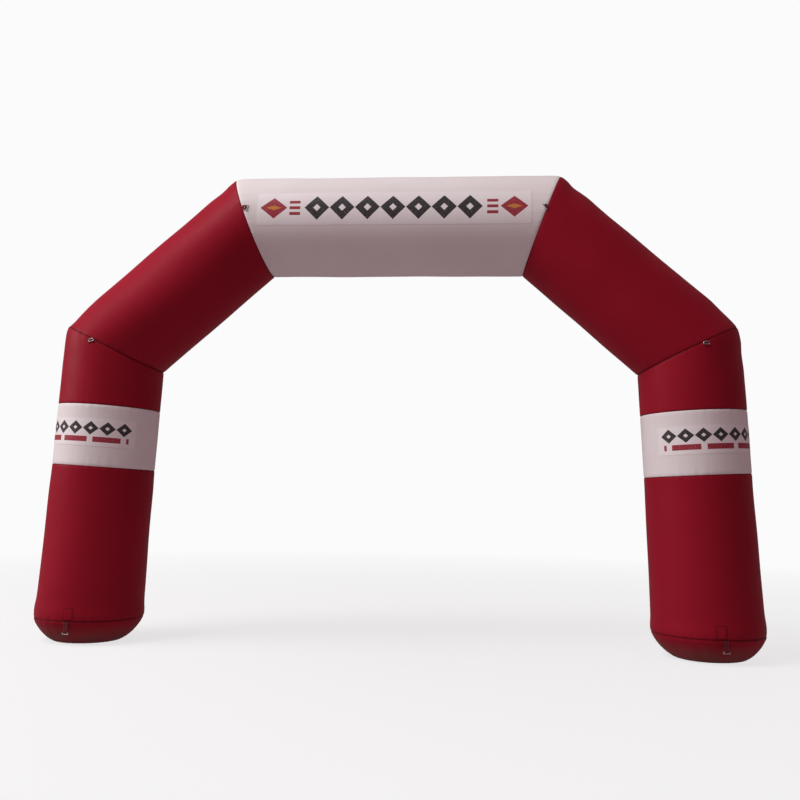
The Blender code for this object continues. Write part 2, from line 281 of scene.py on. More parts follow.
def face_outwards(piece, inside):
    """Turn the faces round if they look towards the given inside point of the piece."""
    mesh = piece.data
    sample = [mesh.polygons[i] for i in range(0, len(mesh.polygons), max(1, len(mesh.polygons) // 400))]
    score = sum((face.center - inside(face.center)).dot(face.normal) for face in sample)
    if score < 0.0:
        mesh.flip_normals()


def thicken(piece, thickness=SHEET):
    choose(piece)
    sheet = piece.modifiers.new("sheet", "SOLIDIFY")
    sheet.thickness, sheet.offset = thickness, -1.0
    sheet.use_even_offset = False
    bpy.ops.object.modifier_apply(modifier=sheet.name)
    bpy.ops.object.shade_smooth_by_angle(angle=math.radians(50.0))


def panel_rows(length):
    """Distances from the first seam: crowded at both ends, even between."""
    near = np.array(NEAR_SEAM)
    middle = max(2, int((length - 2.0 * near[-1]) / ROW_STEP))
    steps = np.linspace(0.0, 1.0, middle + 1)[1:-1]
    return near, steps


class Stretch:
    """The cloth between two seams: where each of its points lies once it is full of air."""

    def __init__(self, tube, first, last, radius_at, seed, size):
        self.tube, self.first, self.last = tube, first, last
        self.radius_at, self.seed, self.size = radius_at, seed, size

    def crossings(self, angle, radius):
        """Where lines along the tube cross its first seam and its last one."""
        return tuple(self.tube.meets(end.plane, angle, radius) for end in (self.first, self.last))

    def ends(self, angle):
        return self.crossings(angle, np.full_like(angle, RADIUS))

    def lay(self, along, angle, lift=0.0):
        begin, end = self.ends(angle)
        distance, to_last = along - begin, end - along
        calm = (1.0 - np.exp(-(distance / CALM) ** 2)) * (1.0 - np.exp(-(to_last / CALM) ** 2))
        from_back = RADIUS * np.abs((angle + math.tau) % math.tau - math.pi)
        radius = self.radius_at(along) + self.first.shape(distance, angle) + self.last.shape(to_last, angle)
        radius = radius + calm * swells(self.seed, along, angle, self.size)
        radius = radius - BACK_DIP * np.exp(-(from_back / SEAM_DIP_WIDTH) ** 2) + lift
        start, stop = self.crossings(angle, radius)
        place = start + (stop - start) * distance / (end - begin)
        place = np.where(to_last < AT_SEAM, stop - SEAM_CLEARANCE, place)
        place = np.where(distance < AT_SEAM, start + SEAM_CLEARANCE, place)
        return self.tube.points(place, angle, radius)


def panel(name, stretch):
    """One cloth tube: crowded rows at both seams, and the allowance turned in behind them."""
    angle = np.linspace(0.0, math.tau, COLUMNS, endpoint=False) + math.pi   # the grid opens at the back
    begin, end = stretch.ends(angle)
    length = end - begin
    near, steps = panel_rows(float(length.mean()))
    squeeze = np.minimum(1.0, length / (CROWDED * near[-1]))
    rows = [near_row * squeeze for near_row in near]
    rows += [rows[-1] * (1.0 - s) + (length - near[-1] * squeeze) * s for s in steps]
    rows += [length - near_row * squeeze for near_row in near[::-1]]
    sinks = [np.full_like(angle, sunk) for sunk in ALLOWANCE]
    lips = [LIP * np.exp(-np.minimum(row, length - row) / LIP_WIDTH) for row in rows]
    order = [(rows[0], sink) for sink in sinks] + list(zip(rows, lips))
    order += [(rows[-1], sink) for sink in sinks[::-1]]
    points = np.array([stretch.lay(begin + row, angle, -sunk) for row, sunk in order])
    cloth = np.array([np.stack([(angle - math.pi) * RADIUS, begin + row], axis=-1) for row, _ in order])
    seams_at = np.array([np.stack([row, length - row], axis=-1) for row, _ in order])
    wrap = cloth[:, :1].copy()
    wrap[..., 0] += math.tau * RADIUS
    piece = grid_mesh(name, points, np.concatenate([cloth, wrap], axis=1), shut(seams_at))
    axis, start = stretch.tube.axis, stretch.tube.start
    face_outwards(piece, lambda p: start + axis * (p - start).dot(axis))
    thicken(piece)
    return piece


def plain_radius(along):
    return np.full_like(along, RADIUS)


def leg_radius(height):
    """The leg widens towards the ground and swells just above the foot seam."""
    flare = FLARE * np.maximum(0.0, 1.0 - height / FLARE_TOP)
    return RADIUS + flare + BULGE * np.exp(-((height - BULGE_HEIGHT) / BULGE_SPREAD) ** 2)


# %% [markdown]
# ## The nine panels
# Each panel is laid between its two seams. Neighbouring panels share a seam's seed, so their gathers
# meet. The seams at the bottom of the bands and at the feet are the most gathered ones.

# %% Make the panels
pieces = {}
seams = {}
for number, side in enumerate(SIDES):
    seams[f"crown_{side}"] = dict(plane=crown_seams[side], seed=11 + number)
    seams[f"shoulder_{side}"] = dict(plane=shoulder_seams[side], seed=21 + number, depth=0.0014)
    seams[f"band_top_{side}"] = dict(plane=across_leg(side, BAND_TOP), seed=31 + number, depth=0.0010)
    seams[f"band_bottom_{side}"] = dict(plane=across_leg(side, BAND_BOTTOM), seed=41 + number, depth=0.0016)
    seams[f"foot_{side}"] = dict(plane=foot_seam, seed=51 + number, depth=0.0016)


def seam(name, corner=None):
    return Seam(corner=corner, **seams[name])


beam_seams = [seam(f"crown_{side}", ("crown", side)) for side in SIDES]
stretches = {"beam": Stretch(beam, *beam_seams, plain_radius, 101, 0.0016)}
for number, side in enumerate(SIDES):
    shoulder, crown = f"shoulder_{side}", f"crown_{side}"
    band_top, band_bottom, foot = f"band_top_{side}", f"band_bottom_{side}", f"foot_{side}"
    stretches[f"arm_{side}"] = Stretch(
        arms[side], seam(shoulder, ("arm_shoulder", side)), seam(crown, ("arm_crown", side)),
        plain_radius, 111 + number, 0.0022)
    stretches[f"leg_upper_{side}"] = Stretch(
        legs[side], seam(band_top), seam(shoulder, ("leg_shoulder", side)), plain_radius, 121 + number, 0.0012)
    stretches[f"band_{side}"] = Stretch(
        legs[side], seam(band_bottom), seam(band_top), plain_radius, 131 + number, 0.0008)
    stretches[f"leg_lower_{side}"] = Stretch(
        legs[side], seam(foot), seam(band_bottom), leg_radius, 141 + number, 0.0018)
for name, stretch in stretches.items():
    pieces[name] = panel(f"cloth_{name}", stretch)
    print(name, len(pieces[name].data.polygons), "faces")

# %% [markdown]
# ## Foot caps
# The end of each leg is a disc of cloth. It is cut flat, and the air swells it into a round-edged
# foot that presses a flat patch on the ground. A disc that is forced round a tube has too much cloth
# at its rim, so it lies in small radial pleats there. We follow the foot's profile from the seam
# down, then across the flat, and close the middle by merging the innermost ring into one point.

# %% Make the foot caps
PLEATS = 0.0026
PLEAT_DENTS = {"left": ((50.0, 0.007), (-62.0, 0.004)), "right": ((38.0, 0.005), (74.0, 0.007), (-48.0, 0.004))}
DENT_WIDTH = 7.0      # degrees
PLEATS_AROUND, PLEAT_SEED = range(13, 40, 3), 60
PROFILE_POINTS, EDGE_RINGS, FLAT_RINGS = 400, 26, 9
POLE, POLE_REACH = 0.0080, 0.0085     # the innermost ring, and how far out points are merged
FAR = 1.0             # stands for the distance to a second seam, which a cap doesn't have
CAP_HEART = 0.15      # a height inside the cap, used to turn its faces outwards


def foot_profile():
    """Height, radius and distance from the seam, for points down the rounded edge."""
    turn = np.linspace(0.5 * math.pi, 0.0, PROFILE_POINTS)
    power = 2.0 / FOOT_ROUNDING
    edge = float(leg_radius(np.array(FOOT_SEAM))) - FOOT_DISC
    height = FOOT_SEAM * (1.0 - np.maximum(0.0, np.cos(turn)) ** power)
    radius = FOOT_DISC + edge * np.maximum(0.0, np.sin(turn)) ** power
    run = np.concatenate([[0.0], np.cumsum(np.hypot(np.diff(height), np.diff(radius)))])
    return height, radius, run


def foot_cap(side, number):
    height, radius, run = foot_profile()
    total = run[-1]
    near = np.array(NEAR_SEAM[:-1])
    wanted = np.concatenate([near, np.linspace(near[-1], total, EDGE_RINGS)[1:]])
    angle = np.linspace(0.0, math.tau, COLUMNS, endpoint=False) + math.pi
    edge = seam(f"foot_{side}")
    axis = np.array(legs[side].axis)
    start = np.array(legs[side].start)
    points, cloth, seams_at = [], [], []

    def ring(z, r, distance):
        centre = start + axis * (z / axis[2])
        way = np.cos(angle)[:, None] * np.array(FRONT) + np.sin(angle)[:, None] * np.array(outward(side))
        points.append(centre + way * r[:, None])
        flat = max(0.0, FOOT_DISC + total - distance)
        cloth.append(np.stack([flat * np.cos(angle), flat * np.sin(angle)], axis=-1))
        seams_at.append(np.stack([np.full_like(angle, distance), np.full_like(angle, FAR)], axis=-1))

    def shaped(distance, sunk=0.0):
        z = float(np.interp(distance, run, height))
        plain = float(np.interp(distance, run, radius))
        share = math.sin(math.pi * min(1.0, distance / total)) ** 1.5
        r = plain + edge.shape(np.full_like(angle, distance), angle) * max(0.0, 1.0 - distance / total)
        r = r + waves(PLEAT_SEED + number, angle, PLEATS_AROUND, PLEATS) * share
        for degrees, depth in PLEAT_DENTS[side]:
            off = (angle - math.radians(degrees) + math.pi) % math.tau - math.pi
            r = r - depth * np.exp(-(off / math.radians(DENT_WIDTH)) ** 2) * share
        lip = LIP * math.exp(-distance / LIP_WIDTH)
        ring(z - (SEAM_CLEARANCE if distance == 0.0 else 0.0), r - lip - sunk, distance)

    for sunk in ALLOWANCE:
        shaped(0.0, sunk)
    for distance in wanted:
        shaped(float(distance))
    for share in np.linspace(1.0, 0.0, FLAT_RINGS + 1)[1:-1]:
        ring(0.0, np.full_like(angle, FOOT_DISC * share), total + FOOT_DISC * (1.0 - share))
    ring(0.0, np.full_like(angle, POLE), total + FOOT_DISC - POLE)
    piece = grid_mesh(f"cloth_foot_{side}", np.array(points), shut(cloth), shut(seams_at))
    choose(piece)
    bpy.ops.object.mode_set(mode="EDIT")
    bpy.ops.mesh.select_all(action="DESELECT")
    bpy.ops.object.mode_set(mode="OBJECT")
    middle = Vector(start)
    for vertex in piece.data.vertices:
        vertex.select = (vertex.co - middle).length < POLE_REACH
    bpy.ops.object.mode_set(mode="EDIT")
    bpy.ops.mesh.merge(type="CENTER")
    bpy.ops.object.mode_set(mode="OBJECT")
    inside = middle + UP * CAP_HEART
    face_outwards(piece, lambda p: inside)
    thicken(piece)
    return piece


for number, side in enumerate(SIDES):
    pieces[f"foot_{side}"] = foot_cap(side, number)
    print(f"foot_{side}", len(pieces[f"foot_{side}"].data.polygons), "faces, pressed flat over", 2 * FOOT_DISC, "m")

# %% [markdown]
# ## Printed sheets and strengthening squares
# The white panels carry smoother, lighter sheets that are printed before they are sewn on. Above each
# foot ring a small square doubles the cloth. They lie on the cloth below, so they are laid with the
# same radius, lifted by about a millimetre, and their edges are pressed down by the stitching.

# %% Lay the sheets
BANNER_HALF, BANNER_ANGLES = 1.125, (-13.0, 27.0)
LEG_PATCH_ANGLES, LEG_PATCH_ALONG = (-55.0, 85.0), (1.606, 1.832)
FOOT_PATCH_HALF, FOOT_PATCH_RISE = 5.4, (0.008, 0.110)
LIFT, PRINT_SHEET, SQUARE_SHEET = 0.0013, 0.0006, 0.0009
PRESSED, PRESSED_WIDTH = 0.0005, 0.004
PRINT_STEP, SQUARE_STEP = 0.012, 0.004


def laid_sheet(name, cloth_of, along_ends, degrees, step, thickness=PRINT_SHEET):
    """A sheet between two angles and two stations, on the cloth of one stretch."""
    first_angle, last_angle = (math.radians(d) for d in degrees)
    rows = max(8, int((along_ends[1] - along_ends[0]) / step))
    columns = max(8, int((last_angle - first_angle) * RADIUS / step))
    angle = np.linspace(first_angle, last_angle, columns + 1)
    arc = (angle - 0.5 * (first_angle + last_angle)) * RADIUS
    half_arc, half_run = arc[-1], 0.5 * (along_ends[1] - along_ends[0])
    points, cloth, edges = [], [], []
    for along in np.linspace(*along_ends, rows + 1):
        run = along - sum(along_ends) / 2.0
        to_edge = np.minimum(half_arc - np.abs(arc), half_run - abs(run))
        lift = LIFT - PRESSED * np.exp(-to_edge / PRESSED_WIDTH)
        points.append(cloth_of.lay(np.full_like(angle, along), angle, lift))
        cloth.append(np.stack([np.full_like(angle, run), arc], axis=-1))
        edges.append(np.stack([np.full_like(angle, half_run - abs(run)), half_arc - np.abs(arc)], axis=-1))
    piece = grid_mesh(name, np.array(points), np.array(cloth), np.array(edges), closed=False)
    axis, start = cloth_of.tube.axis, cloth_of.tube.start
    face_outwards(piece, lambda p: start + axis * (p - start).dot(axis))
    thicken(piece, thickness)
    return piece


middle = 0.5 * beam.length
pieces["banner_patch"] = laid_sheet(
    "print_banner", stretches["beam"], (middle - BANNER_HALF, middle + BANNER_HALF), BANNER_ANGLES, PRINT_STEP)
for side in SIDES:
    pieces[f"leg_patch_{side}"] = laid_sheet(
        f"print_leg_{side}", stretches[f"band_{side}"], LEG_PATCH_ALONG, LEG_PATCH_ANGLES, PRINT_STEP)
    seam_along = float(legs[side].meets(foot_seam, np.array([0.0]), np.array([RADIUS]))[0])
    pieces[f"foot_patch_{side}"] = laid_sheet(
        f"square_foot_{side}", stretches[f"leg_lower_{side}"], tuple(seam_along + r for r in FOOT_PATCH_RISE),
        (-FOOT_PATCH_HALF, FOOT_PATCH_HALF), SQUARE_STEP, SQUARE_SHEET)
print("sheets", [n for n in pieces if "patch" in n])

# %% [markdown]
# ## Rings
# Guy ropes tie to D-rings of bent steel wire. A real one is bent round a former and welded in the
# middle of its bar. We bend it the same way: a circle is the wire's section, it is spun through half
# a turn, run down one side, round a small corner, along the bar, and back up to where it began.

# %% Bend one D-ring
WIRE, RING_HALF, RING_CORNER, RING_SHOULDER = 0.003, 0.0245, 0.005, 0.013
WIRE_SIDES, BOW_STEPS, CORNER_STEPS, BAR_STEPS = 16, 28, 8, 6
QUARTER = 0.5 * math.pi


def spin(angle, centre, steps):
    bpy.ops.mesh.spin(steps=steps, angle=angle, center=centre, axis=(0.0, 0.0, 1.0))


def run_on(shift):
    bpy.ops.mesh.extrude_edges_move(TRANSFORM_OT_translate={"value": shift})


def remember_layout(piece):
    """Keep each point's place on the flat piece, for patterns that must follow it."""
    laid = piece.data.attributes.new("laid", "FLOAT_VECTOR", "POINT")
    places = np.zeros(len(piece.data.vertices) * 3, dtype=np.float32)
    piece.data.vertices.foreach_get("co", places)
    laid.data.foreach_set("vector", places)


deselect()
bpy.ops.mesh.primitive_circle_add(
    vertices=WIRE_SIDES, radius=WIRE, location=(RING_HALF, RING_SHOULDER, 0.0), rotation=(QUARTER, 0.0, 0.0))
d_ring = bpy.context.object
d_ring.name = "d_ring"
bpy.ops.object.transform_apply(location=True, rotation=True, scale=True)
bpy.ops.object.mode_set(mode="EDIT")
bpy.ops.mesh.select_all(action="SELECT")
flat_side = RING_HALF - RING_CORNER
spin(math.pi, (0.0, RING_SHOULDER, 0.0), BOW_STEPS)
run_on((0.0, RING_CORNER - RING_SHOULDER, 0.0))
spin(QUARTER, (-flat_side, RING_CORNER, 0.0), CORNER_STEPS)
for _ in range(BAR_STEPS):
    run_on((2.0 * flat_side / BAR_STEPS, 0.0, 0.0))
spin(QUARTER, (flat_side, RING_CORNER, 0.0), CORNER_STEPS)
run_on((0.0, RING_SHOULDER - RING_CORNER, 0.0))
bpy.ops.mesh.select_all(action="SELECT")
bpy.ops.mesh.remove_doubles(threshold=0.00005)
bpy.ops.mesh.normals_make_consistent(inside=False)
bpy.ops.object.mode_set(mode="OBJECT")
bpy.ops.object.shade_smooth()
corners = [d_ring.matrix_world @ Vector(c) for c in d_ring.bound_box]
print("ring", [round(1000 * (max(c[i] for c in corners) - min(c[i] for c in corners)), 1) for i in range(3)], "mm")

# %% [markdown]
# ## Webbing tabs
# Each ring hangs in a short loop of webbing whose two ends are caught in a seam. The loop is a strip:
# the under layer, half a turn round the ring's bar, and the upper layer coming back to the seam. A
# Solidify modifier gives it the thickness of webbing and a narrow Bevel rounds its edges.

# %% Fold a tab
WEBBING, TAB_HALF = 0.0016, 0.0190
TAB_EYE = WIRE + 0.0005
BAR_HEIGHT = WEBBING + TAB_EYE
SLOPING_SHARE, FLAT_SHARE = 0.70, 0.30    # of the tab's length, for its upper layer
LAYER_GAP, ROUNDED = 0.0002, 0.0003


def fold_tab(name, length):
    deselect()
    bpy.ops.mesh.primitive_grid_add(
        x_subdivisions=12, y_subdivisions=10, size=1.0, location=(0.0, 0.5 * length, 0.5 * WEBBING))
    tab = bpy.context.object
    tab.name = name
    tab.scale = (2.0 * TAB_HALF, length, 1.0)
    bpy.ops.object.transform_apply(location=True, rotation=True, scale=True)
    for vertex in tab.data.vertices:
        vertex.select = vertex.co.y > length - 1e-5
    for edge in tab.data.edges:
        edge.select = all(tab.data.vertices[v].select for v in edge.vertices)
    for face in tab.data.polygons:
        face.select = False
    bpy.ops.object.mode_set(mode="EDIT")
    bpy.ops.mesh.select_mode(type="EDGE")
    bpy.ops.mesh.spin(steps=12, angle=math.pi, center=(0.0, length, BAR_HEIGHT), axis=(1.0, 0.0, 0.0))
    top = BAR_HEIGHT + TAB_EYE + 0.5 * WEBBING
    low = 1.5 * WEBBING + LAYER_GAP
    before = (0.0, 0.0)
    for share in (0.10, 0.20, 0.35, 0.55, 0.75, 0.90, 1.0):
        eased = share * share * (3.0 - 2.0 * share)
        here = (-SLOPING_SHARE * length * share, (low - top) * eased)
        run_on((0.0, here[0] - before[0], here[1] - before[1]))
        before = here
    run_on((0.0, -FLAT_SHARE * length, 0.0))
    bpy.ops.mesh.select_all(action="SELECT")
    bpy.ops.mesh.normals_make_consistent(inside=False)
    bpy.ops.object.mode_set(mode="OBJECT")
    thick = tab.modifiers.new("webbing", "SOLIDIFY")
    thick.thickness, thick.offset = WEBBING, 0.0
    bpy.ops.object.modifier_apply(modifier=thick.name)
    soft = tab.modifiers.new("edges", "BEVEL")
    soft.width, soft.segments = ROUNDED, 2
    soft.limit_method, soft.angle_limit = "ANGLE", math.radians(60.0)
    bpy.ops.object.modifier_apply(modifier=soft.name)
    bpy.ops.object.shade_smooth_by_angle(angle=math.radians(50.0))
    return tab


FITTINGS = (   # joint, side, degrees from the front, degrees below inwards, length, swing in degrees
    ("crown", "left", 8.0, 4.0, 0.036, 4.0),
    ("crown", "right", 7.0, 32.0, 0.020, 28.0),
    ("shoulder", "left", 7.0, 78.0, 0.016, 0.0),
    ("shoulder", "right", 6.0, 90.0, 0.018, 0.0),
    ("foot", "left", 1.0, 90.0, 0.086, 0.0),
    ("foot", "right", 4.0, 90.0, 0.084, 0.0),
)
TAB_LIFT = 0.0006


def seat(joint, side, degrees, points_down):
    """Where a tab starts on its seam, the way it points, and the way off the cloth."""
    angle = np.array([math.radians(degrees)])
    tube, plane, radius = {
        "foot": (legs[side], foot_seam, float(leg_radius(np.array(FOOT_SEAM)))),
        "shoulder": (legs[side], shoulder_seams[side], RADIUS),
        "crown": (beam, crown_seams[side], RADIUS),
    }[joint]
    along = tube.meets(plane, angle, np.array([radius]))
    off_cloth = (FRONT * math.cos(angle[0]) + tube.out * math.sin(angle[0])).normalized()
    down = math.radians(points_down)
    way = -outward(side) * math.cos(down) - UP * math.sin(down)
    way = (way - off_cloth * way.dot(off_cloth)).normalized()
    return Vector(tube.points(along, angle, np.array([radius + TAB_LIFT]))[0]), way, off_cloth


def settle(piece, origin, way, off_cloth):
    """Move a flat-made piece's mesh to its place and leave its object at the origin."""
    remember_layout(piece)
    across = way.cross(off_cloth)
    piece.data.transform(Matrix.Translation(origin) @ Matrix((across, way, off_cloth)).transposed().to_4x4())
    piece.matrix_world = Matrix.Identity(4)


for joint, side, degrees, points_down, tab_length, swing in FITTINGS:
    label = f"{joint}_{side}"
    origin, way, off_cloth = seat(joint, side, degrees, points_down)
    tab = fold_tab(f"webbing_{label}", tab_length)
    settle(tab, origin, way, off_cloth)
    pieces[f"tab_{label}"] = tab
    ring = bpy.data.objects.new(f"wire_ring_{label}", d_ring.data.copy())
    bpy.context.scene.collection.objects.link(ring)
    lean = math.radians(swing)
    ring_way = way * math.cos(lean) + off_cloth * math.sin(lean)
    ring_off = off_cloth * math.cos(lean) - way * math.sin(lean)
    settle(ring, origin + way * tab_length + off_cloth * BAR_HEIGHT, ring_way, ring_off)
    pieces[f"ring_{label}"] = ring
bpy.data.objects.remove(d_ring)
print("fittings", len(FITTINGS))

# %% [markdown]
# ## Mixing a material
# A material here is arithmetic on coordinates: a line of stitches is the distance from a seam, and a
# printed diamond is the sum of two distances. To keep that readable, one small class wraps a value in
# the node tree, so that adding or multiplying two of them adds the Math node. Colours are mixed with
# Mix nodes, because a Math node would turn them grey.

# %% Shader helpers
class Value:
    """One value of a material. Sums and products of values add Math nodes."""

    def __init__(self, paint, socket):
        self.paint, self.socket = paint, socket

    def maths(self, operation, *others, clamp=False):
        return self.paint.node("ShaderNodeMath", {"operation": operation, "use_clamp": clamp}, [self, *others])

    def __add__(self, other):
        return self.maths("ADD", other)

    def __mul__(self, other):
        return self.maths("MULTIPLY", other)

    def __sub__(self, other):
        return self.maths("SUBTRACT", other)

    def __rsub__(self, other):
        return self.paint.node("ShaderNodeMath", {"operation": "SUBTRACT"}, [other, self])

    def __truediv__(self, other):
        return self.maths("DIVIDE", other)

    __radd__, __rmul__ = __add__, __mul__

    def size(self):
        return self.maths("ABSOLUTE")

    def fade(self, over):
        """1 at zero, falling to 0 at the given distance."""
        return (1.0 - self / over).maths("MAXIMUM", 0.0)

    def inside(self, limit, soft):
        """1 where the value is below the limit, 0 above it, with a soft edge."""
        return ((limit - self) / soft + 0.5).maths("ADD", 0.0, clamp=True)

    def repeat(self, pitch):
        """Distance from the middle of the nearest repeat."""
        return ((self / pitch + 0.5).maths("FRACT") - 0.5).size() * pitch


class Paint:
    """A material, its Principled shader, and the one way in which nodes are added to it."""

    def __init__(self, name, constants):
        self.material = bpy.data.materials.new(name)
        self.material.use_nodes = True
        self.tree = self.material.node_tree
        self.shader = next(n for n in self.tree.nodes if n.type == "BSDF_PRINCIPLED")
        for socket, value in constants.items():
            self.shader.inputs[socket].default_value = value

    def node(self, kind, settings=None, inputs=(), output=0):
        node = self.tree.nodes.new(kind)
        for key, value in (settings or {}).items():
            setattr(node, key, value)
        for key, value in (inputs.items() if isinstance(inputs, dict) else enumerate(inputs)):
            if isinstance(value, Value):
                self.tree.links.new(value.socket, node.inputs[key])
            else:
                node.inputs[key].default_value = value
        if output == "all":
            return [Value(self, socket) for socket in node.outputs]
        return Value(self, node.outputs[output])

    def split(self, vector):
        return self.node("ShaderNodeSeparateXYZ", {}, [vector], "all")

    def mix(self, factor, below, above):
        colour = [(*c, 1.0) if isinstance(c, tuple) else c for c in (below, above)]
        return self.node("ShaderNodeMix", {"data_type": "RGBA"}, {0: factor, 6: colour[0], 7: colour[1]}, 2)

    def noise(self, where, scale, detail=2.0):
        return self.node("ShaderNodeTexNoise", {}, {"Vector": where, "Scale": scale, "Detail": detail})

    def feed(self, socket, value):
        self.tree.links.new(value.socket, self.shader.inputs[socket])

    def bump(self, height, distance):
        self.feed("Normal", self.node("ShaderNodeBump", {}, {"Distance": distance, "Height": height}))


# %% [markdown]
# ## Coated cloth
# The tube is woven polyester with a satin coating. It has a fine plain weave, a row of lock stitches
# on each side of a seam, and a painted line where the cloth rolls into the seam: painted shade on the
# red and a painted highlight on the white. The dye is slightly uneven, dust lies where the foot meets
# the ground, and small wrinkles run out of every seam.

# %% Cloth
RED, RED_DEEP = (0.31, 0.0085, 0.023), (0.26, 0.0065, 0.017)
# The seam colours are painted light: painted shade along each seam of the red cloth, and a painted highlight along
# each seam of the white.
RED_SEAM_SHADE, RED_THREAD = (0.12, 0.004, 0.010), (0.19, 0.008, 0.016)
WHITE, WHITE_DEEP = (0.82, 0.765, 0.77), (0.75, 0.69, 0.70)
WHITE_SEAM_HIGHLIGHT, WHITE_THREAD = (0.90, 0.86, 0.865), (0.66, 0.58, 0.60)
DUST = (0.16, 0.10, 0.085)
WEAVE = 0.0011
STITCH_ROW, STITCH_PITCH, STITCH_WIDTH = 0.0060, 0.0042, 0.0009
STITCH_DASH, STITCH_SOFT = 0.36 * STITCH_PITCH, 0.0004
# The second of these is how far the painted seam shade and highlight reach from a seam.
WRINKLE_REACH, SEAM_SHADING_REACH, DUST_HEIGHT = 0.09, 0.011, 0.16
OBJECT_PLACE = 3      # the Object output of a Texture Coordinate node


def cloth_paint(name, plain, deep, painted_seam_shading, thread, roughness):
    paint = Paint(name, {"Specular IOR Level": 0.07})
    place = paint.node("ShaderNodeTexCoord", output=OBJECT_PLACE)
    across, along, _ = paint.split(paint.node("ShaderNodeUVMap", {"uv_map": "cloth"}))
    to_first, to_last, _ = paint.split(paint.node("ShaderNodeUVMap", {"uv_map": "seams"}))
    to_seam = to_first.maths("MINIMUM", to_last)
    height = paint.split(place)[2]
    dye = paint.noise(place, 1.7, 3.0)
    patchy = paint.noise(place, 9.0, 4.0)
    weave = (across * (math.tau / WEAVE)).maths("SINE") * (along * (math.tau / WEAVE)).maths("SINE")
    in_row = (to_seam - STITCH_ROW).size().inside(STITCH_WIDTH, STITCH_SOFT)
    stitch = in_row * across.repeat(STITCH_PITCH).inside(STITCH_DASH, STITCH_SOFT)
    from_back = math.pi * RADIUS - across.size()
    back_row = (from_back - STITCH_ROW).size().inside(STITCH_WIDTH, STITCH_SOFT)
    stitch = stitch.maths("MAXIMUM", back_row * along.repeat(STITCH_PITCH).inside(STITCH_DASH, STITCH_SOFT))
    wrinkle_place = paint.node("ShaderNodeCombineXYZ", {}, [across * 46.0, to_seam * 9.0, 0.0])
    wrinkles = paint.noise(wrinkle_place, 1.0, 2.0) * to_seam.fade(WRINKLE_REACH)
    # Painted light along every seam: this mask mixes in painted shade on the red cloth and a painted highlight on
    # the white.
    line = to_seam.fade(SEAM_SHADING_REACH).maths("POWER", 0.6)
    dust = (height.fade(DUST_HEIGHT) * patchy * 1.3).maths("MINIMUM", 0.75)
    colour = paint.mix((dye - 0.42) * 1.8, plain, deep)
    colour = paint.mix(line * 0.85, colour, painted_seam_shading)
    colour = paint.mix(stitch * 0.7, colour, thread)
    colour = paint.mix(dust, colour, DUST)
    paint.feed("Base Color", colour)
    paint.feed("Roughness", patchy * 0.16 + (roughness - 0.08) + dust * 0.2 + stitch * 0.2)
    relief = weave * 0.00005 + wrinkles * 0.0016 + stitch * 0.0005 + patchy * 0.0004
    paint.bump(relief, 1.0)
    return paint.material


# %% [markdown]
# ## Printed sheets
# The sheets carry a pattern of this object's own: diamonds, bars and lozenges in black, crimson and
# a little gold, the same on both halves. Each motif is worked out from the distance to its middle,
# so its edge stays sharp at any size. The print is a little smoother than the cloth beneath it.

# %% Prints
INK, CRIMSON, GOLD = (0.014, 0.012, 0.014), (0.33, 0.012, 0.030), (0.62, 0.24, 0.05)
PRINT_WHITE, PRINT_DEEP = (0.90, 0.855, 0.86), (0.83, 0.78, 0.79)
EDGE = 0.0025


def diamond(x, y, wide, tall):
    """1 inside a diamond of these half sizes."""
    return (x.size() / wide + y.size() / tall).inside(1.0, EDGE / tall)


def bar(x, y, wide, tall):
    return x.size().inside(wide, EDGE) * y.size().inside(tall, EDGE)


def print_paint(name, draw):
    paint = Paint(name, {"Specular IOR Level": 0.12})
    place = paint.node("ShaderNodeTexCoord", output=OBJECT_PLACE)
    x, y, _ = paint.split(paint.node("ShaderNodeUVMap", {"uv_map": "cloth"}))
    edge_x, edge_y, _ = paint.split(paint.node("ShaderNodeUVMap", {"uv_map": "seams"}))
    to_edge = edge_x.maths("MINIMUM", edge_y)
    patchy = paint.noise(place, 14.0, 4.0)
    worn = paint.noise(place, 220.0, 3.0)
    keep = (worn * 5.0 - 0.9).maths("MINIMUM", 1.0).maths("MAXIMUM", 0.0)
    colour = paint.mix(patchy, PRINT_WHITE, PRINT_DEEP)
    for mask, ink in draw(x, y):
        colour = paint.mix(mask * keep * 0.96, colour, ink)
    row = (to_edge - 0.004).size().inside(STITCH_WIDTH, STITCH_SOFT)
    stitch = row * (x + y).repeat(STITCH_PITCH).inside(STITCH_DASH, STITCH_SOFT)
    colour = paint.mix(stitch * 0.7, colour, WHITE_THREAD)
    paint.feed("Base Color", colour)
    paint.feed("Roughness", patchy * 0.15 + 0.32)
    weave = (x * (math.tau / WEAVE)).maths("SINE") * (y * (math.tau / WEAVE)).maths("SINE")
    paint.bump(weave * 0.00003 + stitch * 0.0005 + patchy * 0.0003, 1.0)
    return paint.material


def draw_banner(x, y):
    """Seven black diamonds with pale hearts, short red bars beside them and a lozenge at each end."""
    middle = x.size().inside(0.732, EDGE)
    aside = (x.size() - 0.810).size()
    end = x.size() - 0.985
    return (
        (diamond(x.repeat(0.209), y, 0.103, 0.104) * middle, INK),
        (diamond(x.repeat(0.209), y, 0.030, 0.031) * middle, PRINT_WHITE),
        (bar(aside, y.size() - 0.050, 0.045, 0.013), CRIMSON),
        (bar(aside, y, 0.045, 0.013), CRIMSON),
        (diamond(end, y, 0.112, 0.092), CRIMSON),
        (diamond(end, y, 0.066, 0.020), GOLD),
    )


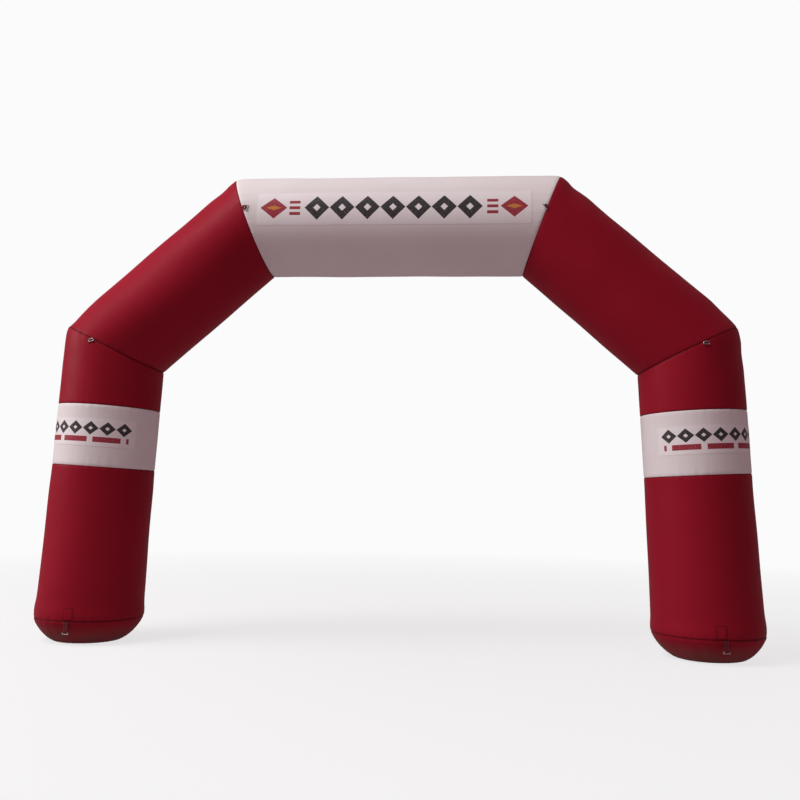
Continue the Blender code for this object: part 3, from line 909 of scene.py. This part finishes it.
def draw_leg(x, y):
    """A row of black diamonds over a row of red bars; x runs up the leg, and y round it."""
    upper, lower = x - 0.036, x + 0.055
    return (
        (diamond(y.repeat(0.135), upper, 0.066, 0.056) * y.size().inside(0.472, EDGE), INK),
        (diamond(y.repeat(0.135), upper, 0.019, 0.016) * y.size().inside(0.472, EDGE), PRINT_WHITE),
        (bar(y.repeat(0.27), lower, 0.112, 0.022) * y.size().inside(0.45, EDGE), CRIMSON),
    )


# %% [markdown]
# ## Webbing and steel
# Webbing is woven in ribs across its width, and here it is stitched down near the seam. The rings
# are zinc plated: grey, not very shiny, with duller spots. Both patterns follow the place that each
# point had before the piece was settled on the arch.

# %% Webbing and steel
WEBBING_DARK, WEBBING_LIGHT = (0.075, 0.006, 0.011), (0.15, 0.012, 0.022)
WEBBING_THREAD = (0.32, 0.10, 0.11)
STEEL_BRIGHT, STEEL_DULL = (0.62, 0.62, 0.62), (0.36, 0.35, 0.34)
RIB, TWILL = 0.0016, 0.0022


def webbing_paint():
    paint = Paint("webbing_paint", {"Specular IOR Level": 0.25})
    laid = paint.node("ShaderNodeAttribute", {"attribute_name": "laid"}, output=1)
    x, y, z = paint.split(laid)
    ribs = ((y + z * 1.4) * (math.tau / RIB)).maths("SINE")
    twill = ((x + y) * (math.tau / TWILL)).maths("SINE")
    fuzz = paint.noise(laid, 900.0, 3.0)
    thread = (x.size() - 0.0155).size().inside(0.0007, 0.0003) * y.repeat(0.0035).inside(0.0012, 0.0003)
    colour = paint.mix(fuzz, WEBBING_DARK, WEBBING_LIGHT)
    colour = paint.mix(thread * 0.8, colour, WEBBING_THREAD)
    paint.feed("Base Color", colour)
    paint.feed("Roughness", fuzz * 0.2 + 0.62)
    paint.bump(ribs * 0.00009 + twill * 0.00004 + thread * 0.0003 + fuzz * 0.00008, 1.0)
    return paint.material


def steel_paint():
    paint = Paint("steel_paint", {})
    laid = paint.node("ShaderNodeAttribute", {"attribute_name": "laid"}, output=1)
    dull = paint.noise(laid, 260.0, 4.0)
    x, y, _ = paint.split(laid)
    weld = (x.size().fade(0.0035)) * y.size().inside(0.006, 0.001)
    paint.feed("Base Color", paint.mix(dull + weld * 0.4, STEEL_BRIGHT, STEEL_DULL))
    paint.feed("Metallic", 0.95 - dull * 0.25)
    paint.feed("Roughness", dull * 0.3 + 0.24 + weld * 0.2)
    paint.bump(dull * 0.0002 + weld * 0.0006, 1.0)
    return paint.material


red_paint = cloth_paint("red_cloth_paint", RED, RED_DEEP, RED_SEAM_SHADE, RED_THREAD, 0.46)
white_paint = cloth_paint("white_cloth_paint", WHITE, WHITE_DEEP, WHITE_SEAM_HIGHLIGHT, WHITE_THREAD, 0.46)
banner_paint, leg_paint = print_paint("banner_print", draw_banner), print_paint("leg_print", draw_leg)
webbing_material, steel_material = webbing_paint(), steel_paint()
print("materials", len(bpy.data.materials))

# %% [markdown]
# ## Joining the pieces to the frame
# Each new piece hides the plain piece that it stands for, rides on the arch's one body, and is given
# the paint of the cloth it is cut from. A table lists the size that each sheet was cut to.

# %% Paint, attach and hide every piece
AROUND = math.tau * RADIUS
CUTS = {   # flat width, flat length and area in metres
    "beam": (AROUND, 2.78, 6.49), "arm": (AROUND, 1.94, 4.24), "leg_upper": (AROUND, 0.70, 1.38),
    "band": (AROUND, 0.505, 1.333), "leg_lower": (2.79, 1.25, 3.40), "foot": (1.08, 1.08, 0.916),
    "banner_patch": (2.25, 0.293, None), "leg_patch": (1.03, 0.226, None), "foot_patch": (0.083, 0.102, None),
}


def finish_of(name):
    if name.startswith(("beam", "band_")):
        return white_paint, "white_cloth"
    if name == "banner_patch":
        return banner_paint, "patch_cloth"
    if name.startswith("leg_patch"):
        return leg_paint, "patch_cloth"
    if name.startswith("tab"):
        return webbing_material, "webbing"
    if name.startswith("ring"):
        return steel_material, "plated_steel"
    return red_paint, "red_cloth"


def rests_on(name):
    side = name.rsplit("_", 1)[-1]
    if name == "banner_patch":
        return ["cloth_beam"]
    if name.startswith("leg_patch"):
        return [f"cloth_band_{side}"]
    if name.startswith("foot_patch"):
        return [f"cloth_leg_lower_{side}"]
    return []


for name, piece in pieces.items():
    material, slot = finish_of(name)
    piece.data.materials.clear()
    piece.data.materials.append(material)
    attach(piece, "root")
    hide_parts(name)
    cut = CUTS.get(name) or CUTS.get(name.rsplit("_", 1)[0])
    if cut:
        rests_on(name)
print("declared", len(pieces), "pieces")

# %% [markdown]
# ## Floor and light
# A plain pale floor, only partly opaque, fades out into a white surround. Two big soft lights stand
# to the left, one at the side and one high up, so that the left and upper sides shine and the right
# side falls into shade. The surround gives a weak, slightly rosy fill, and shows white to the camera.

# %% Floor and light
FLOOR_RADIUS, FLOOR_DROP, FLOOR_FADE, FLOOR_SHOWN = 14.0, 0.002, 13.0, 0.30
FILL, BACKDROP = (0.25, 0.175, 0.185, 1.0), (0.965, 0.965, 0.97, 1.0)
deselect()
bpy.ops.mesh.primitive_circle_add(
    vertices=96, radius=FLOOR_RADIUS, fill_type="NGON", location=(0.0, 0.0, -FLOOR_DROP))
floor = bpy.context.object
floor.name = "floor"
floor_paint = Paint("floor_paint", {
    "Base Color": (0.86, 0.85, 0.86, 1.0), "Roughness": 0.6, "Specular IOR Level": 0.2})
clear = floor_paint.node("ShaderNodeBsdfTransparent")
veil = floor_paint.tree.nodes.new("ShaderNodeMixShader")
far_x, far_y, _ = floor_paint.split(floor_paint.node("ShaderNodeTexCoord", output=OBJECT_PLACE))
from_middle = (far_x * far_x + far_y * far_y).maths("SQRT")
shown = from_middle.fade(FLOOR_FADE) * FLOOR_SHOWN
floor_paint.tree.links.new(shown.socket, veil.inputs[0])
floor_paint.tree.links.new(clear.socket, veil.inputs[1])
floor_paint.tree.links.new(floor_paint.shader.outputs[0], veil.inputs[2])
output = next(n for n in floor_paint.tree.nodes if n.type == "OUTPUT_MATERIAL")
floor_paint.tree.links.new(veil.outputs[0], output.inputs["Surface"])
floor.data.materials.append(floor_paint.material)


def soft_light(name, place, aim, size, power, colour=(1.0, 1.0, 1.0)):
    lamp = bpy.data.lights.new(name, "AREA")
    lamp.shape, lamp.size, lamp.energy, lamp.color = "SQUARE", size, power, colour
    light = bpy.data.objects.new(name, lamp)
    place, aim = Vector(place), Vector(aim)
    light.matrix_world = Matrix.Translation(place) @ (aim - place).to_track_quat("-Z", "Y").to_matrix().to_4x4()
    bpy.context.scene.collection.objects.link(light)


SIDE_LIGHT, HIGH_LIGHT = 720.0, 1500.0
soft_light("side_light", (-14.0, -2.5, 6.5), (0.0, 0.0, 2.2), 5.0, SIDE_LIGHT, (1.0, 0.98, 0.99))
soft_light("high_light", (-7.5, -5.5, 14.5), (0.0, 0.0, 2.0), 6.0, HIGH_LIGHT)

world = bpy.data.worlds.new("surround")
bpy.context.scene.world = world
world.use_nodes = True
nodes, links = world.node_tree.nodes, world.node_tree.links
nodes.clear()
fill, seen = nodes.new("ShaderNodeBackground"), nodes.new("ShaderNodeBackground")
fill.inputs["Color"].default_value = FILL
seen.inputs["Color"].default_value = BACKDROP
choice, path = nodes.new("ShaderNodeMixShader"), nodes.new("ShaderNodeLightPath")
end = nodes.new("ShaderNodeOutputWorld")
links.new(path.outputs["Is Camera Ray"], choice.inputs[0])
links.new(fill.outputs[0], choice.inputs[1])
links.new(seen.outputs[0], choice.inputs[2])
links.new(choice.outputs[0], end.inputs["Surface"])
bpy.context.scene.view_settings.view_transform = "Standard"
print("lights", SIDE_LIGHT, HIGH_LIGHT, "W")
